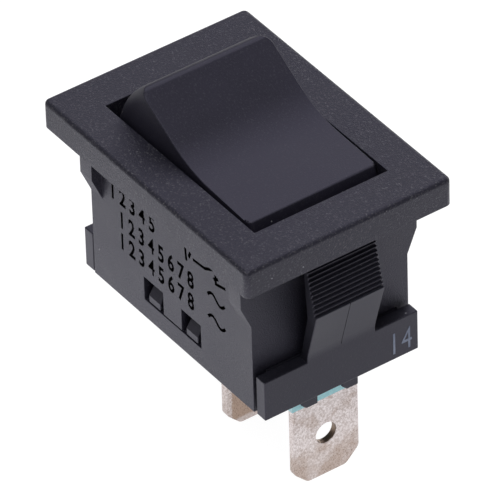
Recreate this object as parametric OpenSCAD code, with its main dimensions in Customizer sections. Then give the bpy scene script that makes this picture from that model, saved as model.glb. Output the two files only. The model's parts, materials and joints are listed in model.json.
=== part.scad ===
// Snap-in panel rocker switch, single pole, with two blade terminals.
// The origin is the centre of the panel cut-out, in the plane that the bezel
// seats on. +Z is up out of the panel, X runs along the switch and its +X end
// is the end that is pressed at rest. All sizes are in millimetres.

/* [Bezel] */
// Length of the bezel
bezel_length = 21; // [17:0.5:26]
// Width of the bezel
bezel_width = 15; // [12.5:0.5:19]
// Height of the bezel above the panel
bezel_height = 2; // [1.2:0.1:3]
// Corner radius of the bezel, seen from above
bezel_corner = 0.4; // [0.1:0.1:1.5]
// How far the bezel overhangs each end wall
end_overhang = 2.18; // [1.8:0.01:3]
// How far the bezel overhangs each side wall
side_overhang = 1.76; // [1:0.01:2.5]

/* [Housing] */
// Depth of the side walls below the panel
housing_depth = 10.85; // [10.5:0.05:13]
// Depth of the end walls below the panel
end_wall_depth = 8; // [7.5:0.1:8.6]
// Thickness of the side walls
side_wall = 0.89; // [0.75:0.01:1.2]
// Thickness of the end walls
end_wall = 0.67; // [0.5:0.01:1]
// Length of each corner bump
bump_length = 1.24; // [0.8:0.01:2]
// How far each corner bump stands out
bump_height = 0.72; // [0.3:0.01:1]
// Depth at which the straight part of a bump ends
bump_straight = 2.65; // [1.5:0.05:3.2]
// Depth at which the ramp of a bump ends
bump_end = 4.36; // [3.6:0.01:5]
// Width of each catch window
window_width = 2; // [1.4:0.05:2.6]
// Height of each catch window
window_height = 1.75; // [1.2:0.05:2]
// Distance between the centres of two windows in one wall
window_spacing = 3.9; // [3.2:0.1:7]
// Height of the wall below a window
window_sill = 1.39; // [1:0.01:1.6]
// Width of the groove that joins the two windows of a wall
groove_width = 0.1; // [0.05:0.01:0.2]

/* [Rocker] */
// Depth of the rocker's pivot below the panel
pivot_depth = 0.8; // [0.4:0.05:1.2]
// Full travel of the rocker, in degrees
rocker_travel = 32.2; // [20:0.2:33]
// Slope of each half of the rocker's top, in degrees
top_slope = 14.5; // [8:0.5:18]
// Height of the rocker's raised edges above its pivot
lip_height = 4.63; // [4:0.01:5.4]
// Radius of the edge that is up at rest
raised_lip = 0.55; // [0.2:0.05:1]
// Radius of the edge that is down at rest
pressed_lip = 0.12; // [0.05:0.01:1]
// Radius where the two halves of the top meet
valley_radius = 8; // [1:0.5:12]
// Radius along the sides of the round end that is up at rest
raised_edge = 0.8; // [0.1:0.05:1]
// Radius along the sides of the round end that is down at rest
pressed_edge = 0.4; // [0.1:0.05:1]
// Thickness of the rocker's shell
rocker_shell = 1.2; // [0.8:0.05:1.5]
// How far the rocker's shell reaches below its pivot
rocker_skirt = 1.5; // [1.2:0.1:2]
// Radial gap between the rocker's ends and the end walls
rocker_end_gap = 0.25; // [0.2:0.01:0.6]
// Gap between the rocker and the bezel at each side
rocker_side_gap = 0.18; // [0.1:0.01:0.5]
// Radius of the rocker's two pivot stubs
stub_radius = 1.2; // [0.8:0.05:1.5]
// Depth of the blind pivot hole in each side wall
stub_hole_depth = 0.55; // [0.3:0.05:0.65]

/* [Plunger] */
// Radius of the plunger and of its round tip
plunger_radius = 0.9; // [0.6:0.05:1.1]
// Distance from the pivot to the centre of the plunger's tip
plunger_reach = 4; // [3.6:0.05:4.2]
// Length of the plunger's straight part
plunger_length = 2.8; // [2:0.1:3]
// How far the sleeve of the rocker reaches below its pivot
sleeve_reach = 3; // [2.4:0.1:3.2]
// Wall of the sleeve
sleeve_wall = 0.65; // [0.4:0.05:1]
// Wire thickness of the spring
spring_wire = 0.24; // [0.15:0.01:0.3]
// Number of turns of the spring
spring_turns = 5; // [3:1:7]

/* [Contacts] */
// Thickness of the terminal blades
blade_thickness = 0.5; // [0.4:0.05:0.8]
// Width of the terminal blades
blade_width = 4.8; // [4:0.1:5.2]
// Length of the blades below the base
blade_length = 8.18; // [6:0.01:10]
// Width of the bevel at each corner of a blade's tip
blade_bevel = 0.98; // [0.3:0.01:1.5]
// Distance from a blade's tip to its hole
blade_hole_height = 3.16; // [2:0.01:4]
// Radius of the hole in a blade
blade_hole_radius = 0.75; // [0.4:0.05:1]
// Place of the middle blade along the switch
common_x = 0.3; // [0:0.05:0.5]
// Gap between the end blade and the inside of the end wall
end_blade_gap = 0.07; // [0.05:0.01:0.5]
// Thickness of the contact bridge
bridge_thickness = 0.5; // [0.3:0.05:0.6]
// Tilt of the contact bridge to each side, in degrees
bridge_tilt = 4; // [2:0.5:5]
// Width of the contact bridge where it sits on the middle terminal
bridge_waist = 3; // [2:0.1:3.4]
// Width of the arms of the contact bridge
bridge_width = 3.6; // [2.4:0.1:4.4]
// Radius of the contact rivets' heads
contact_radius = 1.1; // [0.7:0.05:1.4]
// Thickness of the contact rivets' heads
contact_height = 0.6; // [0.4:0.05:0.8]
// Distance from the end blade to the contact rivets
contact_inset = 2; // [1.7:0.05:2.4]

/* [Base] */
// Thickness of the base plate
base_thickness = 1.55; // [1.2:0.05:1.8]
// Thickness of each foot, along the switch
foot_thickness = 0.87; // [0.6:0.01:1.5]
// Gap between a foot and the ends of the side walls
foot_gap = 0.18; // [0.05:0.01:0.4]
// Width of each latch
latch_width = 5; // [3:0.1:6]
// Depth of the top of each latch below the panel
latch_top = 0.35; // [0.2:0.05:0.8]
// Depth of a latch's widest point below the panel
latch_peak = 3.92; // [3.4:0.01:4.6]
// How far a latch's widest point stands out from the end wall
latch_reach = 2.11; // [1.6:0.01:2.4]
// How far a latch's highest tooth stands out from the end wall
latch_top_reach = 1.33; // [1.1:0.01:1.6]
// Number of teeth on each latch
latch_teeth = 11; // [5:1:12]
// Height of one tooth
tooth_pitch = 0.3; // [0.2:0.01:0.3]
// Depth of one tooth
tooth_depth = 0.22; // [0.1:0.01:0.3]
// Radius where a latch runs into its foot
latch_blend = 2.5; // [1:0.1:4]
// Width of each catch
catch_width = 1.2; // [1:0.05:1.8]
// Height of a catch's flat land
catch_land = 0.5; // [0.3:0.05:0.8]
// Height of the slope above a catch's land
catch_slope = 0.65; // [0.3:0.05:0.9]
// Depth of the collar and seal under the base plate
collar_depth = 1.75; // [1:0.05:2.5]

/* [Hidden] */
$fn = 96;

fit = 0.05;                 // clearance on each side of a part that fits in another
seat = 0.03;                // clearance between faces that rest on each other
cut = 1;                    // how far a cutting body reaches past what it cuts

housing_length = bezel_length - 2 * end_overhang;
housing_width = bezel_width - 2 * side_overhang;
opening_length = housing_length - 2 * end_wall;
opening_width = housing_width - 2 * side_wall;
window_bottom = -housing_depth + window_sill;

half_travel = rocker_travel / 2;
rocker_radius = opening_length / 2 - rocker_end_gap;
rocker_width = opening_width - 2 * rocker_side_gap;
lip_x = sqrt(pow(rocker_radius, 2) - pow(lip_height, 2));
valley_height = lip_height - lip_x * tan(top_slope);
pocket_top = valley_height - rocker_shell;
spring_seat = 0.45;          // how far the sleeve's hole ends below the pocket's top
sleeve_hole_top = pocket_top - spring_seat;
overlap = 0.1;               // how far joined shapes of one moulding reach into each other
sleeve_radius = plunger_radius + fit + sleeve_wall;

// The trough of the bridge keeps this gap to the plunger in mid travel.
plunger_gap = 0.1;
trough_radius = plunger_reach + plunger_radius + plunger_gap;
trough_half = 2;
trough_floor = trough_radius + bridge_thickness;
edge_radius = blade_thickness / 2;
fulcrum_z = -pivot_depth - sqrt(pow(trough_floor + seat + edge_radius, 2) - pow(common_x, 2));
arm_top = -pivot_depth - sqrt(pow(trough_radius, 2) - pow(trough_half, 2));
arm_bottom = arm_top - bridge_thickness;
short_arm = 3.2;

end_x = opening_length / 2 - end_blade_gap - blade_thickness / 2;
contact_x = end_x - contact_inset;
contact_gap = 0.05;
contact_drop = (contact_x - common_x) * sin(bridge_tilt);  // from mid travel to closed
pad_top = arm_bottom - 2 * contact_height - contact_drop - contact_gap;
pad_bottom = pad_top - blade_thickness;
pad_end = contact_x - contact_radius - 0.15;
shank_radius = 0.55;
rivet_tail = 0.25;
bend_radius = 0.3;

// The pressed end of the rocker stays above the raised contact by a clear gap.
rivet_clearance = 0.3;
rivet_top = arm_top + contact_drop + rivet_tail;
sweep_depth = -(rivet_top + rivet_clearance + pivot_depth);

base_top = -housing_depth + base_thickness;
base_width = opening_width - 2 * fit;
foot_inner = housing_length / 2 + foot_gap;
foot_outer = foot_inner + foot_thickness;
foot_width = housing_width - 0.16;
foot_bottom = -housing_depth - 0.05;
tip_z = -housing_depth - blade_length;
collar_bottom = -housing_depth - collar_depth;
seal_front = end_x + 0.65;
collar_front = seal_front + 0.25;

// Points of an arc about [x, z], from one angle to another.
function arc(x, z, radius, from, to, steps) =
    [for (i = [0 : steps]) let (a = from + (to - from) * i / steps)
        [x + radius * cos(a), z + radius * sin(a)]];

// Puts a shape drawn in X and Z across the switch, centred on Y.
module across(width) {
    rotate([90, 0, 0]) linear_extrude(width, center = true) children();
}

// Puts a shape drawn in Y and Z along the switch, centred on X.
module along(length) {
    rotate([90, 0, 90]) linear_extrude(length, center = true) children();
}

module block(size, centre_x, centre_y, bottom) {
    translate([centre_x - size[0] / 2, centre_y - size[1] / 2, bottom]) cube(size);
}

module both_ends() {
    children();
    mirror([1, 0, 0]) children();
}

module both_sides() {
    children();
    mirror([0, 1, 0]) children();
}

module rounded_rectangle(length, width, radius) {
    square([length - 2 * radius, width], center = true);
    square([length, width - 2 * radius], center = true);
    for (x = [-1, 1], y = [-1, 1])
        translate([x * (length / 2 - radius), y * (width / 2 - radius)]) circle(radius);
}

// ---- housing: bezel, walls, bumps and catch windows in one moulding ----

module corner_bump() {
    translate([housing_length / 2 - bump_length / 2, 0, 0]) along(bump_length)
        polygon([[housing_width / 2 - side_wall / 2, 0],
                 [housing_width / 2 + bump_height, 0],
                 [housing_width / 2 + bump_height, -bump_straight],
                 [housing_width / 2, -bump_end],
                 [housing_width / 2 - side_wall / 2, -bump_end]]);
}

module catch_window() {
    block([window_width, side_wall + 2 * cut, window_height],
          window_spacing / 2, housing_width / 2 - side_wall / 2, window_bottom);
}

module window_groove() {
    block([window_spacing - window_width, 2 * groove_width, groove_width],
          0, housing_width / 2, window_bottom);
}

module pivot_hole() {
    translate([0, opening_width / 2 - cut, -pivot_depth]) rotate([-90, 0, 0])
        cylinder(h = stub_hole_depth + cut, r = stub_radius + fit);
}

module housing() {
    color([0.17, 0.17, 0.18]) difference() {
        union() {
            linear_extrude(bezel_height)
                rounded_rectangle(bezel_length, bezel_width, bezel_corner);
            block([housing_length, housing_width, housing_depth + bezel_height / 2],
                  0, 0, -housing_depth);
            both_ends() both_sides() corner_bump();
        }
        block([opening_length, opening_width, housing_depth + bezel_height + 2 * cut],
              0, 0, -housing_depth - cut);
        block([housing_length + 2 * cut, opening_width, housing_depth - end_wall_depth + cut],
              0, 0, -housing_depth - cut);
        both_ends() both_sides() catch_window();
        both_sides() window_groove();
        both_sides() pivot_hole();
    }
}

// ---- rocker: a shell on two pivot stubs, with the plunger's sleeve below ----

// What the rounding takes off the +X edge of the rocker's top.
module lip_waste(radius) {
    wide = rocker_radius + cut;
    centre_z = valley_height * cos(top_slope) - radius;
    centre_t = sqrt(pow(rocker_radius - radius, 2) - pow(centre_z, 2));
    centre = [centre_t * cos(top_slope) - centre_z * sin(top_slope),
              centre_t * sin(top_slope) + centre_z * cos(top_slope)];
    on_slope = centre + radius * [-sin(top_slope), cos(top_slope)];
    on_end = centre * rocker_radius / (rocker_radius - radius);
    difference() {
        polygon([on_slope, on_slope + [0, cut], [wide, lip_height + cut], [wide, on_end[1]],
                 on_end, centre]);
        translate(centre) circle(radius);
    }
}

module rocker_profile() {
    wide = rocker_radius + cut;
    difference() {
        intersection() {
            circle(rocker_radius, $fn = 180);
            polygon([[-wide, -rocker_skirt], [wide, -rocker_skirt],
                     [wide, valley_height + wide * tan(top_slope)], [0, valley_height],
                     [-wide, valley_height + wide * tan(top_slope)]]);
        }
        for (side = [-1, 1]) rotate(side * half_travel) translate([-wide, -sweep_depth - wide])
            square([2 * wide, wide]);
        lip_waste(pressed_lip);
        mirror([1, 0]) lip_waste(raised_lip);
    }
    difference() {
        tangent_x = valley_radius * sin(top_slope);
        polygon([[-tangent_x, valley_height + tangent_x * tan(top_slope)],
                 [0, valley_height - cut],
                 [tangent_x, valley_height + tangent_x * tan(top_slope)]]);
        translate([0, valley_height + valley_radius / cos(top_slope)]) circle(valley_radius);
    }
}

// The round end at +X, with the edges along its sides rounded.
module rocker_end(edge) {
    intersection() {
        rotate([90, 0, 0]) rotate_extrude($fn = 180) intersection() {
            rounded_rectangle(2 * rocker_radius, rocker_width, edge);
            translate([0, -rocker_width]) square([2 * rocker_radius, 2 * rocker_width]);
        }
        translate([0, -rocker_width, -2 * rocker_radius])
            cube([2 * rocker_radius, 2 * rocker_width, 4 * rocker_radius]);
    }
}

module rocker_barrel() {
    rocker_end(pressed_edge);
    mirror([1, 0, 0]) rocker_end(raised_edge);
}

module rocker_pocket() {
    across(rocker_width - 2 * rocker_shell) intersection() {
        circle(rocker_radius - rocker_shell, $fn = 180);
        translate([-rocker_radius, -rocker_skirt - cut])
            square([2 * rocker_radius, rocker_skirt + cut + pocket_top]);
    }
}

module sleeve_and_ribs() {
    translate([0, 0, -sleeve_reach])
        cylinder(h = sleeve_reach + pocket_top + overlap, r = sleeve_radius);
    rib = 0.9;
    block([rib, rocker_width - rocker_shell, rocker_skirt + pocket_top + overlap],
          0, 0, -rocker_skirt);
}

module sleeve_hole() {
    translate([0, 0, -sleeve_reach - cut])
        cylinder(h = sleeve_reach + cut + sleeve_hole_top, r = plunger_radius + fit);
}

module pivot_stubs() {
    stub_from = rocker_width / 2 - 2 * overlap;
    stub_to = opening_width / 2 + stub_hole_depth - fit;
    both_sides() translate([0, stub_from, 0]) rotate([-90, 0, 0])
        cylinder(h = stub_to - stub_from, r = stub_radius);
}

// Turns what rides on the rocker from mid travel to rest.
module at_rest() {
    translate([0, 0, -pivot_depth]) rotate([0, half_travel, 0]) children();
}

module rocker() {
    color([0.18, 0.18, 0.2]) at_rest() {
        difference() {
            union() {
                difference() {
                    intersection() {
                        across(rocker_width + cut) rocker_profile();
                        rocker_barrel();
                    }
                    rocker_pocket();
                }
                sleeve_and_ribs();
            }
            sleeve_hole();
        }
        pivot_stubs();
    }
}

// ---- plunger and its spring ----

module plunger() {
    color([0.85, 0.83, 0.76]) at_rest() translate([0, 0, -plunger_reach]) {
        cylinder(h = plunger_length, r = plunger_radius);
        sphere(plunger_radius);
    }
}

// A closed coil: rings of points along a helix, joined by quads.
module coil(radius, wire, height, turns) {
    sides = 8;
    rings = turns * 16;
    function ring(i) = let (a = 360 * turns * i / rings)
        [for (j = [0 : sides - 1]) let (b = 360 * j / sides)
            [(radius + wire / 2 * cos(b)) * cos(a), (radius + wire / 2 * cos(b)) * sin(a),
             height * i / rings + wire / 2 * sin(b)]];
    points = [for (i = [0 : rings]) each ring(i)];
    skin = [for (i = [0 : rings - 1], j = [0 : sides - 1]) let (k = (j + 1) % sides)
        [i * sides + j, (i + 1) * sides + j, (i + 1) * sides + k, i * sides + k]];
    first = [for (j = [0 : sides - 1]) j];
    last = [for (j = [sides - 1 : -1 : 0]) rings * sides + j];
    polyhedron(points, concat(skin, [first, last]));
}

module plunger_spring() {
    bottom = plunger_length - plunger_reach + spring_wire / 2 + seat;
    top = sleeve_hole_top - spring_wire / 2 - seat;
    coil_radius = plunger_radius - spring_wire / 2 - fit;
    color([0.78, 0.78, 0.76]) at_rest() translate([0, 0, bottom])
        coil(coil_radius, spring_wire, top - bottom, spring_turns);
}

// ---- contact bridge: a see-saw on the edge of the middle terminal ----

module bridge_at_rest() {
    translate([common_x, 0, fulcrum_z]) rotate([0, -bridge_tilt, 0])
        translate([-common_x, 0, -fulcrum_z]) children();
}

module trough_profile() {
    intersection() {
        translate([0, -pivot_depth]) difference() {
            circle(trough_floor, $fn = 180);
            circle(trough_radius, $fn = 180);
        }
        translate([-trough_half, fulcrum_z]) square([2 * trough_half, arm_top - fulcrum_z]);
    }
}

module contact_bridge() {
    arm_start = trough_half - 0.2;
    color([0.8, 0.55, 0.4]) bridge_at_rest() difference() {
        union() {
            across(bridge_waist) trough_profile();
            block([contact_x + contact_radius - arm_start, bridge_width, bridge_thickness],
                  (contact_x + contact_radius + arm_start) / 2, 0, arm_bottom);
            block([short_arm - arm_start, bridge_width, bridge_thickness],
                  -(short_arm + arm_start) / 2, 0, arm_bottom);
        }
        translate([contact_x, 0, arm_bottom - cut])
            cylinder(h = bridge_thickness + 2 * cut, r = shank_radius + 0.02);
    }
}

// A rivet with a domed head below and a shank up through its carrier.
module contact_rivet(carrier) {
    dome_radius = 4;
    intersection() {
        translate([0, 0, -contact_height]) cylinder(h = contact_height - 0.01, r = contact_radius);
        translate([0, 0, -contact_height + dome_radius]) sphere(dome_radius);
    }
    translate([0, 0, -0.1]) cylinder(h = carrier + 0.12, r = shank_radius);
    translate([0, 0, carrier + 0.01]) cylinder(h = rivet_tail, r = shank_radius + 0.25);
}

module moving_contact() {
    color([0.86, 0.86, 0.84]) bridge_at_rest() translate([contact_x, 0, arm_bottom])
        contact_rivet(bridge_thickness);
}

module fixed_contact() {
    color([0.86, 0.86, 0.84]) translate([contact_x, 0, pad_top]) mirror([0, 0, 1])
        contact_rivet(blade_thickness);
}

// ---- terminals ----

// The outline of a blade in Y and Z, from its bevelled tip to the given top.
module blade_outline(top) {
    half = blade_width / 2;
    difference() {
        polygon([[-half, tip_z + blade_bevel], [-half + blade_bevel, tip_z],
                 [half - blade_bevel, tip_z], [half, tip_z + blade_bevel],
                 [half, top], [-half, top]]);
        translate([0, tip_z + blade_hole_height]) circle(blade_hole_radius);
    }
}

module common_terminal() {
    notch = bridge_waist + 0.2;
    ear_top = -pivot_depth - trough_radius + 0.1;
    color([0.8, 0.77, 0.74]) translate([common_x, 0, 0]) {
        along(blade_thickness) difference() {
            blade_outline(ear_top);
            translate([-notch / 2, fulcrum_z]) square([notch, ear_top - fulcrum_z + cut]);
        }
        translate([0, 0, fulcrum_z]) rotate([90, 0, 0])
            cylinder(h = notch, r = edge_radius, center = true);
    }
}

module end_terminal() {
    outer = bend_radius + blade_thickness;
    inner_face = end_x - blade_thickness / 2;
    color([0.8, 0.77, 0.74]) difference() {
        union() {
            translate([end_x, 0, 0]) along(blade_thickness)
                blade_outline(pad_bottom - bend_radius);
            across(blade_width) intersection() {
                translate([inner_face - bend_radius, pad_bottom - bend_radius]) difference() {
                    circle(outer);
                    circle(bend_radius);
                }
                translate([inner_face - bend_radius, pad_bottom - bend_radius]) square(outer);
            }
            block([inner_face - bend_radius - pad_end, blade_width, blade_thickness],
                  (inner_face - bend_radius + pad_end) / 2, 0, pad_bottom);
        }
        translate([contact_x, 0, pad_bottom - cut])
            cylinder(h = blade_thickness + 2 * cut, r = shank_radius + 0.02);
    }
}

// ---- base: floor, terminal supports, feet, latches and catches in one moulding ----

module latch_profile() {
    face = housing_length / 2;
    tip = [face + latch_reach, -latch_peak];
    first_z = -latch_peak + latch_teeth * tooth_pitch;
    lean = (latch_reach - latch_top_reach) / (latch_teeth * tooth_pitch);
    // The lead-in face meets the foot's front at this depth, before it is rounded.
    foot_meet = -end_wall_depth + 0.4;
    slope = atan((tip[0] - foot_outer) / (tip[1] - foot_meet));
    reach = latch_blend * tan(slope / 2);
    back_root = foot_inner + 0.1;
    back_top = face + latch_top_reach - 0.5;
    teeth = [for (i = [0 : latch_teeth - 1])
        let (z = first_z - i * tooth_pitch, x = face + latch_top_reach + lean * (first_z - z))
            each [[x - tooth_depth, z], [x, z]]];
    polygon(concat(
        [[back_root, -end_wall_depth - 0.2], [face + 1.13, -latch_peak - 0.6],
         [back_top, -latch_top], [face + latch_top_reach - tooth_depth, -latch_top]],
        teeth, [tip - [tooth_depth, 0], tip],
        arc(foot_outer + latch_blend, foot_meet - reach, latch_blend, 180 - slope, 180, 8),
        [[foot_outer, -end_wall_depth - 0.2]]));
}

module foot_and_latch() {
    block([foot_thickness, foot_width, -end_wall_depth - foot_bottom],
          (foot_inner + foot_outer) / 2, 0, foot_bottom);
    // The rail under the end wall, which carries the foot.
    rail_from = opening_length / 2 + 2 * fit;
    rail_to = foot_inner + foot_thickness / 4;
    block([rail_to - rail_from, base_width, housing_depth - end_wall_depth - fit],
          (rail_from + rail_to) / 2, 0, -housing_depth);
    across(latch_width) latch_profile();
}

module catch() {
    lean = 0.6;
    inner = base_width / 2 - 0.9;
    land = housing_width / 2 - fit;
    land_bottom = window_bottom + fit;
    slope_top = land_bottom + catch_land + catch_slope;
    translate([window_spacing / 2, 0, 0]) along(catch_width)
        polygon([[inner, base_top - 0.2], [inner, slope_top],
                 [land - lean * catch_slope, slope_top], [land, land_bottom + catch_land],
                 [land, land_bottom], [base_width / 2, land_bottom],
                 [base_width / 2, base_top - 0.2]]);
}

module blade_slot(x) {
    block([blade_thickness + 2 * fit, blade_width + 2 * fit, 2 * housing_depth],
          x, 0, -2 * housing_depth);
}

// Two short teeth in front of the seal of the end terminal.
module collar_tooth(y) {
    width = 1.18;
    bevel = 0.34;
    translate([(seal_front + fit + collar_front) / 2, y, 0]) along(collar_front - seal_front - fit)
        polygon([[-width / 2, -housing_depth + 0.2], [width / 2, -housing_depth + 0.2],
                 [width / 2, collar_bottom], [bevel - width / 2, collar_bottom],
                 [-width / 2, collar_bottom + bevel]]);
}

module base() {
    pad_support = [pad_end, end_x - blade_thickness / 2 - bend_radius - 0.2];
    color([0.16, 0.16, 0.17]) difference() {
        union() {
            block([2 * foot_inner + 0.2, base_width, base_thickness], 0, 0, -housing_depth);
            both_ends() foot_and_latch();
            both_ends() both_sides() catch();
            block([blade_thickness + 1.6, blade_width + 1.4, base_thickness + 1],
                  common_x, 0, -housing_depth);
            block([pad_support[1] - pad_support[0], blade_width, pad_bottom - seat + housing_depth],
                  (pad_support[0] + pad_support[1]) / 2, 0, -housing_depth);
            for (y = [-1.6, 1.4]) collar_tooth(y);
        }
        blade_slot(common_x);
        blade_slot(end_x);
        translate([contact_x, 0, pad_bottom - rivet_tail - 0.15])
            cylinder(h = rivet_tail + cut, r = shank_radius + 0.4);
    }
}

// ---- seals where the blades leave the base ----

module seal(x, from_y, to_y) {
    color([0.35, 0.72, 0.76]) difference() {
        block([2 * (seal_front - end_x), to_y - from_y, collar_depth + 0.1 - seat],
              x, (from_y + to_y) / 2, collar_bottom - 0.1);
        block([blade_thickness + 0.02, blade_width, 2 * collar_depth + 2 * cut],
              x, 0, collar_bottom - cut);
    }
}

module common_seal() {
    seal(common_x, -2.75, 2.75);
}

module end_seal() {
    seal(end_x, -2.75, 2);
}

housing();
rocker();
plunger();
plunger_spring();
base();
contact_bridge();
moving_contact();
fixed_contact();
common_terminal();
end_terminal();
common_seal();
end_seal();
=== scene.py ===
# %% [markdown]
# # A snap-in panel rocker switch
# The CAD model already holds every piece at its real size. This script loads it as a
# fixed frame and gives it its looks: rounded copies of the mouldings and blades, engraved
# and printed marks, a coil for the spring, and a procedural finish for every surface.
# Sizes are written in millimetres and turned into metres by one factor. Only the table
# and the lamps, which are no part of the switch, are given in metres.

import json
import math

import bmesh
import bpy
from mathutils import Matrix, Vector


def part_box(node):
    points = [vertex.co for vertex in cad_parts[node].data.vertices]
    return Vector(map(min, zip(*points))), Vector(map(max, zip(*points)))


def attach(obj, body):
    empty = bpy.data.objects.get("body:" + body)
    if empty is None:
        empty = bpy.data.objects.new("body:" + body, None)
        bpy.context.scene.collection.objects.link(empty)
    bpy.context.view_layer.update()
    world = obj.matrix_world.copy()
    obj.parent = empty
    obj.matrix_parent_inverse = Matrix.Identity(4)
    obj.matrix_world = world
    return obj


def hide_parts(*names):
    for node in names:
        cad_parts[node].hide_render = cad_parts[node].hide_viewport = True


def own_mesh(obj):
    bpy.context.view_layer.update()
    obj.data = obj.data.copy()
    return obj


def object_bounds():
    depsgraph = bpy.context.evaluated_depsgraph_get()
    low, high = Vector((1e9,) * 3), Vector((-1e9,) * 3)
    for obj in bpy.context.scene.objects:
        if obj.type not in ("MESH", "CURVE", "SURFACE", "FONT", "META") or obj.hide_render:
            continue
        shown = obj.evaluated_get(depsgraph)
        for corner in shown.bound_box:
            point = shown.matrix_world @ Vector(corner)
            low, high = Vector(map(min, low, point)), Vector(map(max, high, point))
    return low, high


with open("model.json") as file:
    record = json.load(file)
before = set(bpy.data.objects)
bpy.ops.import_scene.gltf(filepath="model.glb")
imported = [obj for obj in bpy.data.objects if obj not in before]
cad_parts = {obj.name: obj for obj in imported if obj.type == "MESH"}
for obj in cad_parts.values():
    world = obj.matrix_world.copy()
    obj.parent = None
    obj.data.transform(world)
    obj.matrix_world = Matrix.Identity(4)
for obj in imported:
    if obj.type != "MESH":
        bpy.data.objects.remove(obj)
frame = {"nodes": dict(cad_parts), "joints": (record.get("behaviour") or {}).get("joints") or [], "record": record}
cad_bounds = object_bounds()

MM = 0.001
scene = bpy.context.scene
joints = {joint["name"]: joint for joint in frame["joints"]}
mounts = {mount["name"]: mount for mount in frame["record"]["mounts"]}
print("joints:", sorted(joints))

# %% [markdown]
# ## Camera
# A long lens far away keeps the switch nearly free of perspective, as in a catalogue view.
# The camera looks down on the corner between the long engraved side and the latch at the
# end. Its place comes from an azimuth, an elevation, a small roll and a distance. Two
# shifts across the view bring the whole switch, most of it below the origin, into frame.

# %% Camera
CAMERA_AZIMUTH = math.radians(55.487)
CAMERA_ELEVATION = math.radians(38.849)
CAMERA_ROLL = math.radians(-1.784)
CAMERA_DISTANCE = 494.93 * MM
CAMERA_RIGHT = 0.042 * MM
CAMERA_UP = -5.120 * MM
CAMERA_LENS = 596.73
CAMERA_SENSOR = 36.0
CAMERA_NEAR = 10 * MM


def place_camera():
    towards = Vector((math.sin(CAMERA_AZIMUTH) * math.cos(CAMERA_ELEVATION),
                      -math.cos(CAMERA_AZIMUTH) * math.cos(CAMERA_ELEVATION),
                      math.sin(CAMERA_ELEVATION)))
    right = Vector((math.cos(CAMERA_AZIMUTH), math.sin(CAMERA_AZIMUTH), 0))
    up = towards.cross(right)
    rolled_right = math.cos(CAMERA_ROLL) * right + math.sin(CAMERA_ROLL) * up
    rolled_up = math.cos(CAMERA_ROLL) * up - math.sin(CAMERA_ROLL) * right
    data = bpy.data.cameras.new("camera")
    data.sensor_width = CAMERA_SENSOR
    data.lens = CAMERA_LENS
    data.clip_start = CAMERA_NEAR
    camera = bpy.data.objects.new("camera", data)
    turn = Matrix((rolled_right, rolled_up, towards)).transposed().to_4x4()
    place = towards * CAMERA_DISTANCE + right * CAMERA_RIGHT + up * CAMERA_UP
    camera.matrix_world = Matrix.Translation(place) @ turn
    scene.collection.objects.link(camera)
    scene.camera = camera
    return camera


camera = place_camera()
print("camera at", [round(c / MM, 1) for c in camera.location], "mm")

# %% [markdown]
# ## Shader maths as plain expressions
# Node trees read better as formulas. `Value` wraps a socket and overloads the operators, so
# `1 - mask * 0.5` adds the Math nodes by itself. `Shader.node` adds any other node: its type,
# its settings, then the values or links of its sockets. What it returns is indexed by the
# name or number of an output.

# %% Values that calculate
class Value:
    """An output socket that takes part in sums, products and ramps."""

    def __init__(self, shader, socket):
        self.shader = shader
        self.socket = socket

    def _math(self, operation, *others):
        out = self.shader.node("ShaderNodeMath", {"operation": operation},
                               {i: v for i, v in enumerate((self, *others))})
        return out[0]

    def __add__(self, other):
        return self._math("ADD", other)

    def __sub__(self, other):
        return self._math("SUBTRACT", other)

    def __rsub__(self, other):
        return (self * -1) + other

    def __mul__(self, other):
        return self._math("MULTIPLY", other)

    def __truediv__(self, other):
        return self._math("DIVIDE", other)

    __radd__ = __add__
    __rmul__ = __mul__

    def absolute(self):
        return self._math("ABSOLUTE")

    def root(self):
        return self._math("SQRT")

    def below(self, limit):
        """1 where the value is less than the limit, 0 elsewhere."""
        return self._math("LESS_THAN", limit)

    def ramp(self, low, high):
        """0 at low, 1 at high, smooth between them."""
        out = self.shader.node("ShaderNodeMapRange", {"interpolation_type": "SMOOTHSTEP"},
                               {"Value": self, "From Min": low, "From Max": high})
        return out[0]


class Outputs:
    """A node's outputs by name or number, wrapped as values."""

    def __init__(self, shader, made):
        self.shader = shader
        self.made = made

    def __getitem__(self, key):
        return Value(self.shader, self.made.outputs[key])


print("values can be added, subtracted, multiplied, divided, compared and ramped")

# %% A shader and its calls
# A Mix node has sockets for each kind of data. These numbers are those of its colours.
MIX_FIRST = 6
MIX_SECOND = 7
MIX_RESULT = 2


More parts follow.
